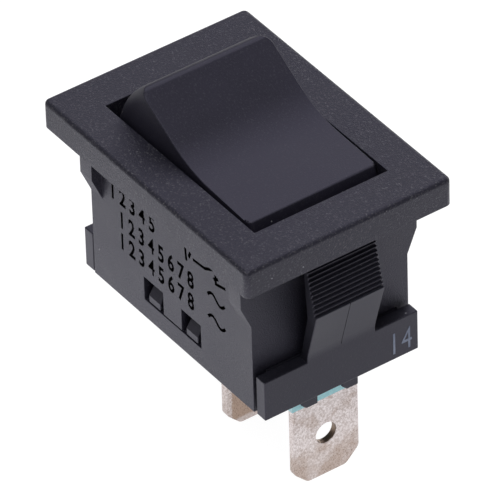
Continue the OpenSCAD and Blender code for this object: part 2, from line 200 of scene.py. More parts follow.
class Shader:
    """A material, its Principled BSDF and the few calls that the finishes need."""

    def __init__(self, name):
        self.material = bpy.data.materials.new(name)
        self.material.use_nodes = True
        self.tree = self.material.node_tree
        self.bsdf = self.tree.nodes["Principled BSDF"]
        self.place = self.node("ShaderNodeTexCoord", {}, {})["Object"]

    def node(self, kind, settings, inputs):
        made = self.tree.nodes.new(kind)
        for key, value in settings.items():
            setattr(made, key, value)
        for key, value in inputs.items():
            self.feed(made.inputs[key], value)
        return Outputs(self, made)

    def feed(self, socket, value):
        if isinstance(value, Value):
            self.tree.links.new(value.socket, socket)
        else:
            socket.default_value = value

    def set(self, **inputs):
        """Feeds inputs of the Principled BSDF, whose names are written with underscores."""
        for key, value in inputs.items():
            self.feed(self.bsdf.inputs[key.replace("_", " ")], value)

    def along(self, axis):
        """The coordinate along X, Y or Z in millimetres."""
        return self.node("ShaderNodeSeparateXYZ", {}, {0: self.place})[axis] / MM

    def noise(self, size, detail=2.0, roughness=0.5, stretch=None):
        """Noise from 0 to 1 whose blotches are about size millimetres wide."""
        where = self.place
        if stretch:
            where = self.node("ShaderNodeMapping", {}, {"Vector": where, "Scale": stretch})[0]
        out = self.node("ShaderNodeTexNoise", {},
                        {"Vector": where, "Scale": 1 / (size * MM), "Detail": detail,
                         "Roughness": roughness})
        return out["Fac"]

    def specks(self, spacing, radius, share):
        """A mask of small dots: one chance for each cell of the given spacing."""
        cells = self.node("ShaderNodeTexVoronoi", {"feature": "F1"},
                          {"Vector": self.place, "Scale": 1 / (spacing * MM)})
        pick = self.node("ShaderNodeSeparateColor", {}, {0: cells["Color"]})["Red"]
        return cells["Distance"].below(radius / spacing) * pick.below(share)

    def blend(self, mask, first, second):
        """The first colour where the mask is 0, the second where it is 1."""
        made = self.tree.nodes.new("ShaderNodeMix")
        made.data_type = "RGBA"
        self.feed(made.inputs["Factor"], mask)
        for number, colour in ((MIX_FIRST, first), (MIX_SECOND, second)):
            self.feed(made.inputs[number], colour if isinstance(colour, Value) else (*colour, 1))
        return Value(self, made.outputs[MIX_RESULT])

    def bump(self, height, depth):
        """Feeds a height map from 0 to 1, depth millimetres deep, to the normal."""
        out = self.node("ShaderNodeBump", {}, {"Strength": 1.0, "Distance": depth * MM,
                                               "Height": height})
        self.set(Normal=out["Normal"])


print("calls of a shader:", [call for call in dir(Shader) if not call.startswith("_")])

# %% [markdown]
# ## Moulded black plastic
# The housing, base and rocker are glass-filled nylon: nearly black inside, so what shows is
# the satin sheen of the surface with a blue cast. The surface has a spark-eroded grain, whose
# tips are painted paler as painted glints, most on the bezel. Soft blotches vary the gloss,
# and a few pale specks are dust that sits in the grain. Each moulding has its own grain: the
# bezel's is coarse, the rocker's nearly smooth.
# One function makes all three from noise in the object's own coordinates, so the grain
# keeps its real size on every piece.

# %% Moulded plastic
SHEEN = (0.85, 0.83, 1.0, 1.0)
SHEEN_LEVEL = 0.52
CLOUD_SIZE = 3.0
CLOUD_ROUGHNESS = 0.10
GRAIN_ROUGHNESS = 0.16
GRAIN_DARK = 0.4
GRAIN_PALE = 1.5
# Painted glints on the grain's tips: where they fall, their colour and their fade below the bezel.
GLINT_RAMP = (0.52, 0.76)
GLINT_OWN_COLOUR = 0.5
PAINTED_GLINT_WHITE = 0.105
GLINT_FADE = 4.0
GLINT_LOW = 0.3
DUST_SPACING = 0.7
DUST_RADIUS = 0.05
DUST_COLOUR = (0.32, 0.32, 0.34)
DUST_RISE = 0.8


def moulded_plastic(name, colour, gloss, grain_size, grain_depth, glitter, glitter_from=None,
                    dust=0.05):
    """The grain's size and depth are in millimetres. Glitter from 0 to 1 is how much paler its
    tips are painted, as painted glints, in full only above the height glitter_from. Dust is
    the share of specks."""
    finish = Shader(name)
    cloud = finish.noise(CLOUD_SIZE, detail=3.0)
    grain = finish.noise(grain_size, detail=3.0, roughness=0.65)
    fine = finish.noise(grain_size / 2, detail=1.0)
    # Painted glints: the tips of the grain get a paler, whiter colour.
    tips = grain.ramp(*GLINT_RAMP) * glitter
    if glitter_from is not None:
        high = finish.along("Z").ramp(glitter_from - GLINT_FADE, glitter_from)
        tips = tips * (high * (1 - GLINT_LOW) + GLINT_LOW)
    dark = [c * GRAIN_DARK for c in colour]
    pale = [c * GRAIN_PALE for c in colour]
    bright = [c * GLINT_OWN_COLOUR + PAINTED_GLINT_WHITE for c in colour]
    ground = finish.blend(tips, finish.blend(cloud * 0.5 + grain * 0.5, dark, pale), bright)
    dots = finish.specks(DUST_SPACING, DUST_RADIUS, dust)
    finish.set(Base_Color=finish.blend(dots, ground, DUST_COLOUR),
               Roughness=cloud * CLOUD_ROUGHNESS + grain * GRAIN_ROUGHNESS + gloss,
               Specular_IOR_Level=SHEEN_LEVEL, Specular_Tint=SHEEN)
    finish.bump(grain * 0.6 + fine * 0.4 + dots * DUST_RISE, grain_depth)
    return finish.material


BEZEL_THICKNESS = 2.0
bezel_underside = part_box("housing")[1].z / MM - BEZEL_THICKNESS
housing_plastic = moulded_plastic("housing_plastic", (0.0120, 0.0114, 0.0198), gloss=0.32,
                                  grain_size=0.13, grain_depth=0.050, glitter=1.0,
                                  glitter_from=bezel_underside)
base_plastic = moulded_plastic("base_plastic", (0.0115, 0.0112, 0.0175), gloss=0.33,
                               grain_size=0.12, grain_depth=0.014, glitter=0.25)
rocker_plastic = moulded_plastic("rocker_plastic", (0.0121, 0.0110, 0.0200), gloss=0.33,
                                 grain_size=0.12, grain_depth=0.012, glitter=0.22, dust=0.03)
print("plastics:", housing_plastic.name, base_plastic.name, rocker_plastic.name)

# %% Engraved plastic with painted shade
ENGRAVED_SHADE_DARK = (0.0005, 0.0005, 0.0007)
ENGRAVED_SHADE_PALE = (0.003, 0.003, 0.004)
ENGRAVED_SHEEN = 0.08
ENGRAVED_GRAIN = 0.06
ENGRAVED_ROUGHNESS = 0.75
ENGRAVED_BUMP = 0.004


def shaded_recess_plastic(name):
    """The walls and floor of an engraved stroke: the same plastic, rough and nearly black, a
    painted shade that keeps the groove darker than the moulding around it."""
    finish = Shader(name)
    grain = finish.noise(ENGRAVED_GRAIN)
    finish.set(Base_Color=finish.blend(grain, ENGRAVED_SHADE_DARK, ENGRAVED_SHADE_PALE),
               Roughness=grain * 0.2 + ENGRAVED_ROUGHNESS, Specular_IOR_Level=ENGRAVED_SHEEN)
    finish.bump(grain, ENGRAVED_BUMP)
    return finish.material


engraved_shade_plastic = shaded_recess_plastic("engraved_shade_plastic")
print("strokes:", engraved_shade_plastic.name)

# %% [markdown]
# ## Tinned blades
# The blades are dull tinned brass: pale, a little pink, with fine brown freckles that gather
# in stained patches. The middle blade is stained nearly all over, up to a narrow, rubbed
# border. Three noises of different sizes make the stain, the mottle and the freckles, and
# one value for wear sets how far the stain has spread.

# %% Tinned sheet
DULL_TIN = (0.52, 0.445, 0.41)
PALE_TIN = (0.86, 0.80, 0.78)
TIP_DARK_TIN = (0.42, 0.34, 0.30)
STAIN_BROWN = (0.38, 0.27, 0.20)
FRECKLE_BROWN = (0.17, 0.11, 0.08)
STAIN_SIZE = 1.5
STAIN_RAMP = (0.50, 0.74)
STAIN_SPREAD = 0.20
MOTTLE_SIZE = 0.15
MOTTLE_RAMP = (0.34, 0.66)
FRECKLE_SIZE = 0.09
FRECKLE_RAMP = (0.54, 0.66)
FRECKLE_GATHER = 0.60
# Heights above the tip between which the darker tip fades out.
TIP_DARK_RAMP = (0.5, 3.5)
TIP_DARK_SHARE = 0.40
TIP_STAIN_EXTRA = 0.14
# Distances from the outline between which the rubbed border gives way to the stain.
SIDE_BORDER = (0.26, 0.46)
TIP_BORDER = (0.30, 0.52)
BORDER_RAGGED = 0.5
BORDER_RUBBED = 0.9
TIN_METALLIC = 0.85
TIN_ROUGHNESS = 0.26
TIN_BUMP = 0.012
blade_low, blade_high = (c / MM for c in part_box("end_terminal"))


def inside_border(finish, mottle):
    """0 along the sides and the tip of a blade, 1 further in, with a ragged line between."""
    ragged = (mottle - 0.5) * BORDER_RAGGED
    outer, inner = (blade_high.y - border for border in SIDE_BORDER)
    side = (finish.along("Y").absolute() + ragged).ramp(inner, outer)
    lower, upper = (blade_low.z + border for border in TIP_BORDER)
    return (finish.along("Z") + ragged).ramp(lower, upper) * (1 - side)


def tinned_sheet(name, wear):
    """Wear runs from 0 for fresh tin to 1 for tin that is mostly stained brown. The blades are
    darker towards their tips, where the stain also spreads a little further. The stain stops
    short of the outline, where the sheet was rubbed clean."""
    finish = Shader(name)
    stain = finish.noise(STAIN_SIZE, detail=3.0, roughness=0.6)
    mottle = finish.noise(MOTTLE_SIZE, detail=3.0, roughness=0.75)
    freckle = finish.noise(FRECKLE_SIZE, detail=2.0, roughness=0.7)
    tip = 1 - finish.along("Z").ramp(*(blade_low.z + height for height in TIP_DARK_RAMP))
    patch = (stain + tip * TIP_STAIN_EXTRA).ramp(*(edge - STAIN_SPREAD * wear for edge in STAIN_RAMP))
    rubbed = BORDER_RUBBED * wear
    patch = patch * (inside_border(finish, mottle) * rubbed + (1 - rubbed))
    stain_strength = 0.50 + 0.40 * wear
    freckle_strength = 0.25 + 0.15 * wear
    ground = finish.blend(mottle.ramp(*MOTTLE_RAMP), DULL_TIN, PALE_TIN)
    tip_darkened = finish.blend(tip * TIP_DARK_SHARE, ground, TIP_DARK_TIN)
    warm = finish.blend(patch * stain_strength, tip_darkened, STAIN_BROWN)
    spots = freckle.ramp(*FRECKLE_RAMP) * (patch * FRECKLE_GATHER + freckle_strength)
    finish.set(Base_Color=finish.blend(spots, warm, FRECKLE_BROWN), Metallic=TIN_METALLIC,
               Roughness=mottle * 0.25 + freckle * 0.15 + TIN_ROUGHNESS)
    finish.bump(mottle * 0.6 + freckle * 0.4, TIN_BUMP)
    return finish.material


tinned_brass = tinned_sheet("tinned_brass", 0.0)
stained_brass = tinned_sheet("stained_brass", 1.0)
print("blade half as wide as", round(blade_high.y, 2), "mm, tip at", round(blade_low.z, 2), "mm")

# %% [markdown]
# ## Small metals, resin and ink
# The wall of a punched hole shows bare, sheared brass, coloured dark brown as painted shade
# inside the hole. The contacts and the spring inside are plainer, but each has a fine grain of
# its own: noise that looks brushed where it is drawn out along an axis.
# The seal is a blue-green resin under a clear, glossy skin, and the number on the foot is
# pale pad-printed ink.

# %% Brushed metals
BRUSH_SIZE = 0.3
BRUSH_BUMP = 0.003
METAL_METALLIC = 0.95


def bright_metal(name, pale, dark, roughness, stretch):
    """Stretch is the noise's scale on each axis: the grain is longest where it is smallest."""
    finish = Shader(name)
    brush = finish.noise(BRUSH_SIZE, detail=3.0, roughness=0.6, stretch=stretch)
    finish.set(Base_Color=finish.blend(brush, dark, pale), Metallic=METAL_METALLIC,
               Roughness=brush * 0.2 + roughness)
    finish.bump(brush, BRUSH_BUMP)
    return finish.material


# Bare brass for the hole walls, its dark colour a painted shade inside the hole.
shaded_hole_brass = bright_metal("shaded_hole_brass", pale=(0.40, 0.30, 0.22), dark=(0.08, 0.05, 0.04),
                             roughness=0.35, stretch=(1, 1, 0.3))
contact_copper = bright_metal("contact_copper", pale=(0.78, 0.42, 0.26), dark=(0.55, 0.27, 0.16),
                              roughness=0.3, stretch=(1, 8, 8))
contact_silver = bright_metal("contact_silver", pale=(0.86, 0.85, 0.82), dark=(0.62, 0.61, 0.58),
                              roughness=0.25, stretch=(1, 1, 1))
spring_steel = bright_metal("spring_steel", pale=(0.62, 0.62, 0.60), dark=(0.40, 0.40, 0.39),
                            roughness=0.3, stretch=(1, 1, 6))
print("metals:", shaded_hole_brass.name, contact_copper.name, contact_silver.name, spring_steel.name)

# %% Resin, ink and the plunger's plastic
RESIN_CLOUD = 0.6
RESIN_RAMP = (0.3, 0.7)
RESIN_BUMP = 0.01
COAT_IOR = 1.9
COAT_ROUGHNESS = 0.2


def soft_resin(name, pale, dark, roughness, wet=0.0):
    """Wet is the weight of a clear, glossy coat."""
    finish = Shader(name)
    cloud = finish.noise(RESIN_CLOUD, detail=3.0)
    finish.set(Base_Color=finish.blend(cloud.ramp(*RESIN_RAMP), dark, pale),
               Roughness=cloud * 0.15 + roughness,
               Coat_Weight=wet, Coat_IOR=COAT_IOR, Coat_Roughness=COAT_ROUGHNESS)
    finish.bump(cloud, RESIN_BUMP)
    return finish.material


plunger_plastic = soft_resin("plunger_plastic", pale=(0.74, 0.71, 0.62), dark=(0.62, 0.58, 0.49),
                             roughness=0.4)
seal_resin = soft_resin("seal_resin", pale=(0.40, 0.94, 0.99), dark=(0.28, 0.82, 0.90),
                        roughness=0.35, wet=1.0)
foot_ink = soft_resin("foot_ink", pale=(0.30, 0.34, 0.44), dark=(0.17, 0.20, 0.28),
                      roughness=0.6)
print("resins:", plunger_plastic.name, seal_resin.name, foot_ink.name)

# %% [markdown]
# ## Rounded copies of the CAD pieces
# A CAD mesh is loose triangles with perfectly sharp edges, which never catch the light. Each
# moulding and blade is copied, its triangles are merged back into flat faces, and its edges
# are rounded: the wide, named radii first, then a hairline on the other sharp edges. The
# work is done in millimetres so that merging distances keep a sensible size.

# %% Copies and rounded edges
MERGE = 0.0005
SHARP = math.radians(28)
HARD = math.radians(40)
FLAT = math.radians(0.6)


def copy_of(node):
    """The node's mesh as a bmesh in millimetres, with its flat faces whole again."""
    work = bmesh.new()
    work.from_mesh(frame["nodes"][node].data)
    bmesh.ops.scale(work, vec=(1 / MM,) * 3, verts=work.verts)
    bmesh.ops.remove_doubles(work, verts=work.verts, dist=MERGE)
    bmesh.ops.dissolve_limit(work, angle_limit=FLAT, verts=work.verts, edges=work.edges)
    return work


def sharp_edges(work, angle):
    return [e for e in work.edges if len(e.link_faces) == 2 and e.calc_face_angle(0) > angle]


def round_edges(work, edges, radius, segments, clamp=True):
    """Without the clamp, the short edges of an arc don't limit the radius."""
    bmesh.ops.bevel(work, geom=edges, offset=radius, offset_type="OFFSET", segments=segments,
                    profile=0.5, affect="EDGES", clamp_overlap=clamp)


print("triangles merge where they meet within", round(math.degrees(FLAT), 1), "degrees")

# %% [markdown]
# A bevel or a cut can leave a few slivers beside the body. They are dropped, and the gaps
# that they leave are closed. Hard lines are marked where faces meet at an angle, and the
# large faces set the shading, so that rounded edges don't dent them.

# %% Closed shells and finished pieces
GAP_SIDES = 4


def crease(work, angle=SHARP):
    """Smooth faces everywhere, with a hard line along every edge that turns by the angle."""
    for face in work.faces:
        face.smooth = True
    for edge in work.edges:
        edge.smooth = len(edge.link_faces) == 2 and edge.calc_face_angle(0) <= angle


def drop_scraps(work):
    """Keeps the largest shell, deletes the slivers that an operation left beside it and
    closes the small gaps they leave. Returns the number of slivers."""
    loose = dict.fromkeys(work.faces)
    shells = []
    while loose:
        shell = [loose.popitem()[0]]
        for face in shell:
            for edge in face.edges:
                if len(edge.link_faces) == 2:
                    for other in edge.link_faces:
                        if other in loose:
                            del loose[other]
                            shell.append(other)
        shells.append(shell)
    kept = set(max(shells, key=len))
    scraps = [face for face in work.faces if face not in kept]
    bmesh.ops.delete(work, geom=scraps, context="FACES")
    open_edges = [e for e in work.edges if e.is_boundary]
    bmesh.ops.holes_fill(work, edges=open_edges, sides=GAP_SIDES)
    bmesh.ops.recalc_face_normals(work, faces=work.faces)
    return len(scraps)


def piece_from(work, name, materials, body, node=None):
    """Turns a bmesh in millimetres into a finished piece that rides on a body."""
    bmesh.ops.scale(work, vec=(MM,) * 3, verts=work.verts)
    crease(work)
    mesh = bpy.data.meshes.new(name)
    work.to_mesh(mesh)
    work.free()
    for material in materials:
        mesh.materials.append(material)
    piece = bpy.data.objects.new(name, mesh)
    scene.collection.objects.link(piece)
    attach(piece, body)
    if node:
        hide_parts(node)
    return piece


def even_normals(piece):
    """Lets the large faces set the shading."""
    weighted = piece.modifiers.new("even_normals", "WEIGHTED_NORMAL")
    weighted.keep_sharp = True
    weighted.weight = 100


print("a hard line where faces meet at more than", round(math.degrees(SHARP)), "degrees")

# %% [markdown]
# ## Housing
# One moulding holds the bezel, the walls, the four corner bumps and the catch windows. The
# top edge of the bezel has a soft radius. Every other sharp edge is broken by a hairline.

# %% Housing shape
BEZEL_RADIUS = 0.30
BEZEL_RIM = 0.45
LEVEL = 0.01
HAIRLINE = 0.035
HAIRLINE_ANGLE = math.radians(50)
bezel_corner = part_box("housing")[1] / MM


def on_bezel_rim(edge):
    """True for the outer edge of the bezel's top, its four corners included."""
    top = all(abs(v.co.z - bezel_corner.z) < LEVEL for v in edge.verts)
    rim = all(bezel_corner.x - abs(v.co.x) < BEZEL_RIM
              or bezel_corner.y - abs(v.co.y) < BEZEL_RIM for v in edge.verts)
    return top and rim


housing_work = copy_of("housing")
rim = [e for e in sharp_edges(housing_work, SHARP) if on_bezel_rim(e)]
round_edges(housing_work, rim, BEZEL_RADIUS, segments=5)
round_edges(housing_work, sharp_edges(housing_work, HAIRLINE_ANGLE), HAIRLINE, segments=2)
print("bezel rim:", len(rim), "edges; housing faces:", len(housing_work.faces))

# %% [markdown]
# ## Engraved marks
# Marks on a moulding are cut into the mould's wall, so on the part they are shallow grooves
# with upright sides. They are made as solid strokes from Blender's built-in font and from a
# few bars, placed on the wall and subtracted. The rows hold plain counting numbers, one
# digit to each step of the pitch. Faces that come from the cutter keep its near-black colour,
# a painted shade inside the groove.

# %% Digits as solids
ENGRAVING_DEPTH = 0.22
DIGIT_SIZE = 1.72
DIGIT_STRETCH = 0.80
DIGIT_BOLD = 0.045
NARROW_BOLD = 0.020
NARROW_DIGITS = "4"


def evaluated_mesh(holder):
    """The mesh that an object's text or modifiers make. The object itself is removed."""
    shape = holder.evaluated_get(bpy.context.evaluated_depsgraph_get())
    mesh = bpy.data.meshes.new_from_object(shape)
    bpy.data.objects.remove(holder)
    return mesh


def text_solid(words, size, reach, bold, steps, spacing=1.0, align="LEFT"):
    """Words as a flat solid in millimetres that reaches the same distance to both sides of
    the XY plane. Bold widens the strokes, and steps divides their curves."""
    data = bpy.data.curves.new("text", "FONT")
    data.body = words
    data.size = size
    data.extrude = reach
    data.offset = bold
    data.resolution_u = steps
    data.space_character = spacing
    data.align_x = align
    holder = bpy.data.objects.new("text", data)
    scene.collection.objects.link(holder)
    return evaluated_mesh(holder)


def digit_strokes(digit):
    """One digit, centred on x = 0 and standing on z = 0. A narrow counter, which bold strokes
    would fill, gets thinner ones."""
    bold = NARROW_BOLD if digit in NARROW_DIGITS else DIGIT_BOLD
    mesh = text_solid(digit, DIGIT_SIZE, ENGRAVING_DEPTH, bold, steps=3, align="CENTER")
    mesh.transform(Matrix.Diagonal((DIGIT_STRETCH, 1, 1, 1)))
    mesh.transform(Matrix.Rotation(math.radians(90), 4, "X"))
    return mesh


print("digits", round(DIGIT_SIZE, 2), "mm in size, cut", ENGRAVING_DEPTH, "mm deep")

# %% Bars as solids
STROKE = 0.22
STROKE_OVERRUN = 0.3
WAVE_STEPS = 10


def bar_strokes(points, width, depth=ENGRAVING_DEPTH):
    """A solid polyline with mitred corners in the XZ plane, of the given width, that reaches
    depth to both sides. Its ends run on by a share of the width."""
    spine = [Vector((x, 0, z)) for x, z in points]
    runs = [(b - a).normalized() for a, b in zip(spine, spine[1:])]
    spine[0] -= runs[0] * width * STROKE_OVERRUN
    spine[-1] += runs[-1] * width * STROKE_OVERRUN
    work = bmesh.new()
    rings = []
    for point, before, after in zip(spine, runs[:1] + runs, runs + runs[-1:]):
        along = (before + after).normalized()
        side = Vector((-along.z, 0, along.x)) * width / 2 / along.dot(after)
        rings.append([work.verts.new(point + side * s + Vector((0, y, 0)))
                      for s, y in ((1, -depth), (-1, -depth), (-1, depth), (1, depth))])
    work.faces.new(rings[0])
    work.faces.new(reversed(rings[-1]))
    for ring, following in zip(rings, rings[1:]):
        for k in range(4):
            n = (k + 1) % 4
            work.faces.new((ring[n], ring[k], following[k], following[n]))
    bmesh.ops.recalc_face_normals(work, faces=work.faces)
    mesh = bpy.data.meshes.new("bars")
    work.to_mesh(mesh)
    work.free()
    return mesh


def wave_points(x, z, length, height):
    """A tilde from x to the right: one period of a sine about the height z."""
    return [(x + length * i / WAVE_STEPS, z + height * math.sin(2 * math.pi * i / WAVE_STEPS))
            for i in range(WAVE_STEPS + 1)]


print("bars", STROKE, "mm wide")

# %% Rows and signs on the wall
DIGIT_PITCH = 1.02
EDGE_SETBACK = 1.76
WAVE_LEFT = 3.85
WAVE_LENGTH = 1.70
WAVE_HEIGHT = 0.27
WAVE_LEVELS = (-4.60, -6.32)
# Each row: its digits, the middle of its first digit and its foot line.
ROWS = (("12345", -5.95, -3.55), ("12345678", -5.08, -5.32), ("12345678", -5.12, -6.98))
# A lever between two contacts, each line by its corners along X and Z.
LEVER_SIGN = (((1.62, -2.62), (1.70, -3.42)), ((1.98, -3.02), (2.12, -2.66)),
              ((2.45, -2.95), (3.60, -2.86), (4.35, -2.48)), ((4.55, -3.08), (4.95, -2.86)),
              ((4.72, -2.76), (4.74, -3.34), (5.66, -3.12)))
wall_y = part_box("housing")[0].y / MM + EDGE_SETBACK


def joined(meshes):
    """One mesh from several, each already in its place."""
    work = bmesh.new()
    for mesh in meshes:
        work.from_mesh(mesh)
    whole = bpy.data.meshes.new("marks")
    work.to_mesh(whole)
    work.free()
    return whole


digits = []
for row, x, z in ROWS:
    for place, digit in enumerate(row):
        mesh = digit_strokes(digit)
        mesh.transform(Matrix.Translation((x + place * DIGIT_PITCH, wall_y, z)))
        digits.append(mesh)

bars = []
waves = [wave_points(WAVE_LEFT, z, WAVE_LENGTH, WAVE_HEIGHT) for z in WAVE_LEVELS]
for points in (*waves, *LEVER_SIGN):
    bar = bar_strokes(points, STROKE)
    bar.transform(Matrix.Translation((0, wall_y, 0)))
    bars.append(bar)
print("engraved digits and strokes:", len(digits), len(bars))

# %% [markdown]
# The bars lie on each other where lines meet, and cutters that overlap would leave walls
# inside the groove. So the digits are cut together, and each bar by itself.

# %% Cut the marks into the housing
def cut_marks(piece, cutters, finish, sharp=SHARP):
    """Subtracts each cutter in turn, leaves the result as the piece's own mesh and gives the
    new edges their hard lines."""
    for number, mesh in enumerate(cutters):
        mesh.transform(Matrix.Diagonal((MM, MM, MM, 1)))
        mesh.materials.clear()
        mesh.materials.append(finish)
        tool = bpy.data.objects.new("mark_%02d" % number, mesh)
        scene.collection.objects.link(tool)
        cut = piece.modifiers.new("cut", "BOOLEAN")
        cut.operation = "DIFFERENCE"
        cut.solver = "EXACT"
        cut.use_self = True
        cut.material_mode = "TRANSFER"
        cut.object = tool
        result = bpy.data.meshes.new_from_object(
            piece.evaluated_get(bpy.context.evaluated_depsgraph_get()))
        piece.modifiers.remove(cut)
        piece.data = result
        bpy.data.objects.remove(tool)
    work = bmesh.new()
    work.from_mesh(piece.data)
    print(piece.name, "scraps:", drop_scraps(work))
    crease(work, sharp)
    work.to_mesh(piece.data)
    work.free()
    even_normals(piece)


housing_piece = piece_from(housing_work, "housing_moulding", [housing_plastic], "housing",
                           node="housing")
faces_before = len(housing_piece.data.polygons)
cut_marks(housing_piece, [joined(digits)] + bars, engraved_shade_plastic)
print("housing faces before and after the marks:", faces_before, len(housing_piece.data.polygons))

# %% [markdown]
# ## Rocker
# The rocker is the button that a finger tilts. Its long radii are already in the CAD, so only
# the hard edges of its upper part are eased. Where arcs meet, the copy has very short edges
# that would spoil the bevel, so they are dissolved first.

# %% Rocker
ROCKER_EDGE = 0.08
ROCKER_EDGE_FROM = 1.5
ROCKER_SHORTEST = 0.02
rocker_work = copy_of("rocker")
bmesh.ops.dissolve_degenerate(rocker_work, dist=ROCKER_SHORTEST, edges=rocker_work.edges)
button_edges = [e for e in sharp_edges(rocker_work, HARD)
                if min(v.co.z for v in e.verts) > ROCKER_EDGE_FROM]
round_edges(rocker_work, button_edges, ROCKER_EDGE, segments=3, clamp=False)
rocker_scraps = drop_scraps(rocker_work)
rocker_piece = piece_from(rocker_work, "rocker_button", [rocker_plastic], "rocker",
                          node="rocker")
even_normals(rocker_piece)
print("rocker faces:", len(rocker_piece.data.polygons), "scraps:", rocker_scraps)

# %% [markdown]
# ## Base
# The base closes the housing from below, carries the blades and has a latch at each end. Its
# hard edges are broken by a wider hairline, which picks up a bright line on each saw tooth
# of a latch. Down the long face of the latch towards +X runs a fine groove, where two
# inserts of the mould meet. It is found from the corners of the CAD mesh and cut like a mark.

# %% Base
BASE_HAIRLINE = 0.055
BASE_CREASE = math.radians(12)
MOULD_LINE = 0.035
MOULD_LINE_DEPTH = 0.07
FOOT_BAND = 2.5
base_points = [v.co / MM for v in frame["nodes"]["base"].data.vertices]
base_low = min(p.z for p in base_points)
foot_face = max(p.x for p in base_points if p.z < base_low + FOOT_BAND)
latch_nose = max(base_points, key=lambda p: (round(p.x, 3), -p.z))
latch_heel = min((p for p in base_points if p.x > foot_face + LEVEL), key=lambda p: p.z)
mould_line = bar_strokes(((latch_nose.x, latch_nose.z), (latch_heel.x, latch_heel.z)),
                         2 * MOULD_LINE_DEPTH, depth=MOULD_LINE / 2)

base_work = copy_of("base")
round_edges(base_work, sharp_edges(base_work, HARD), BASE_HAIRLINE, segments=2, clamp=False)
base_piece = piece_from(base_work, "base_moulding", [base_plastic], "housing",
                        node="base")
# The mould line's faces get the same near-black painted shade as the engraved strokes.
cut_marks(base_piece, [mould_line], engraved_shade_plastic, BASE_CREASE)
print("base faces:", len(base_piece.data.polygons), "latch from",
      [round(c, 2) for c in latch_nose], "to", [round(c, 2) for c in latch_heel])

# %% [markdown]
# ## Blades
# The two blades are stamped from sheet, so their outlines have slightly rolled edges and the
# corners of their free ends are rounded. The record's mounts say where the punched holes
# are, and the faces of a hole's wall get bare brass, darkened as painted shade, as a second
# material.

# %% Blades
TIP_RADIUS = 0.20
TIP_ANGLE = math.radians(25)
TIP_ZONE = 1.6
BLADE_HAIRLINE = 0.045
HOLE_ZONE = 1.05
WALL_LEAN = 0.3
PARALLEL = 0.99


def blade_tip_edges(work, axis):
    """The corners of the blade's free end, which run through the sheet along the axis."""
    top = min(v.co.z for v in work.verts) + TIP_ZONE
    return [e for e in sharp_edges(work, TIP_ANGLE) if all(v.co.z < top for v in e.verts)
            and abs((e.verts[1].co - e.verts[0].co).normalized().dot(axis)) > PARALLEL]


def mark_hole_wall(work, axis, centre, radius):
    """Gives the wall of the punched hole the second material."""
    for face in work.faces:
        arm = face.calc_center_median() - centre
        arm -= axis * arm.dot(axis)
        if arm.length < radius * HOLE_ZONE and abs(face.normal.dot(axis)) < WALL_LEAN:
            face.material_index = 1


def stamped_blade(node, mount, finish):
    axis = Vector(mount["axis"])
    work = copy_of(node)
    round_edges(work, blade_tip_edges(work, axis), TIP_RADIUS, segments=4)
    round_edges(work, sharp_edges(work, HARD), BLADE_HAIRLINE, segments=2)
    mark_hole_wall(work, axis, Vector(mount["pos_m"]) / MM, mount["dims"]["r_mm"])
    return piece_from(work, node + "_blade", [finish, shaded_hole_brass], "housing",
                      node=node)


for side, finish in (("common", stained_brass), ("end", tinned_brass)):
    node = side + "_terminal"
    blade_piece = stamped_blade(node, mounts[side + "_tab_hole"], finish)
    even_normals(blade_piece)
    print(node, "faces:", len(blade_piece.data.polygons))

# %% [markdown]
# ## Printed number
# The foot carries a pad-printed number. Ink is a film about a hundredth of a millimetre
# thick, so it is a real, thin solid that stands on the foot's face. The text is made flat,
# narrowed, then turned so that it reads along the foot's end.

# %% Printed number
INK_HEIGHT = 0.012
NUMBER = "14"
NUMBER_SIZE = 2.35
NUMBER_THIN = 0.006
NUMBER_STRETCH = 0.72
NUMBER_SPACING = 1.12
NUMBER_Y = 3.45
NUMBER_Z = -10.50
# Turns what lies in the XY plane so that it faces along X and reads along Y.
FACING_X = Matrix(((0, 0, 1, 0), (1, 0, 0, 0), (0, 1, 0, 0), (0, 0, 0, 1)))

number_work = bmesh.new()
number_work.from_mesh(text_solid(NUMBER, NUMBER_SIZE, INK_HEIGHT / 2, -NUMBER_SIZE * NUMBER_THIN,
                                 steps=4, spacing=NUMBER_SPACING))
number_place = Matrix.Translation((foot_face + INK_HEIGHT / 2, NUMBER_Y, NUMBER_Z))
number_work.transform(number_place @ FACING_X @ Matrix.Diagonal((NUMBER_STRETCH, 1, 1, 1)))
number_piece = piece_from(number_work, "foot_number", [foot_ink], "housing")
print("number on the foot:", [round(c / MM, 2) for c in number_piece.bound_box[0]])

# %% [markdown]
# ## Plunger spring
# A coil follows one rule, so Geometry Nodes make it: a spiral curve swept by a round wire.
# Its radius, wire, height and turns are named inputs and repeat those of the CAD coil. It
# is made upright on the origin and then tilted about the pivot like the rocker. Its upper
# end stays on its seat in the rocker, on which it rides.

# %% Coil as a node tree
COIL_STEPS = 28
WIRE_SIDES = 10
COIL_INPUTS = (("Radius", "NodeSocketFloat"), ("Wire", "NodeSocketFloat"),
               ("Height", "NodeSocketFloat"), ("Turns", "NodeSocketFloat"),
               ("Finish", "NodeSocketMaterial"))


